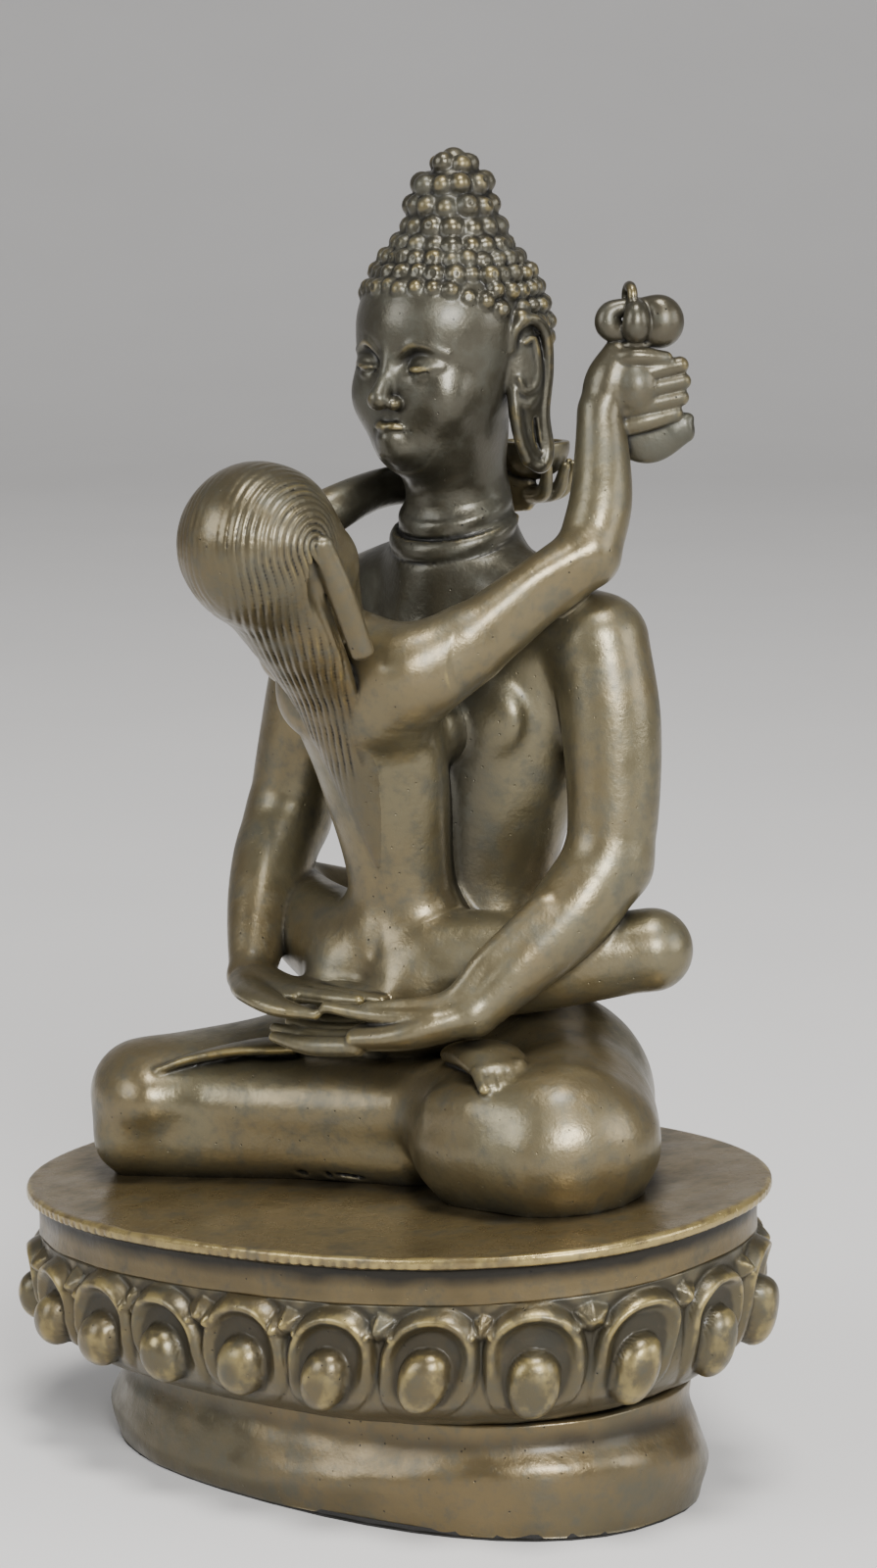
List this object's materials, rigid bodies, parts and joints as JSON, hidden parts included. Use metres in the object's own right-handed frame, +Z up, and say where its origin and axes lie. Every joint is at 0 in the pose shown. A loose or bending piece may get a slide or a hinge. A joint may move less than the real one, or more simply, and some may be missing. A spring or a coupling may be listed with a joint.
{
  "type": "seated lotus figure statue",
  "caption": "Small patinated brass statue of a seated lotus-posture figure embraced by a consort with a curved knife, on an oval lotus pedestal.",
  "frame": {"origin": "middle of the pedestal at the surface that it stands on", "axes": "+Z up, the father figure faces -Y, +X is on the side of the father's left arm"},
  "size_m": [0.0726, 0.0492, 0.1123],
  "materials": {
    "patina_brass": "olive-brown antique patina, semi-gloss",
    "worn_brass": "antique patina rubbed back to bright brass on the high spots",
    "raw_brass": "dull rolled sheet",
    "steel": "plain zinc-plated",
    "felt": "black craft felt"
  },
  "bodies": {
    "root": {"felt_pad": "felt", "base_cover": "raw_brass", "pedestal_foot": "patina_brass", "lotus_petal_ring": "worn_brass", "seat_plate": "patina_brass", "fixing_washer_left": "steel", "fixing_washer_right": "steel", "fixing_screw_left": "steel", "fixing_screw_right": "steel", "father_legs": "patina_brass", "father_torso": "patina_brass", "father_head": "patina_brass", "crown_jewel": "worn_brass", "father_left_arm": "patina_brass", "father_right_arm": "patina_brass", "consort_torso": "patina_brass", "consort_head": "patina_brass", "consort_hair": "patina_brass", "consort_right_arm": "patina_brass", "consort_left_arm": "patina_brass", "consort_right_leg": "patina_brass", "consort_left_leg": "patina_brass", "knife_handle": "patina_brass", "knife_blade": "patina_brass", "skull_cup": "patina_brass"}
  },
  "joints": []
}
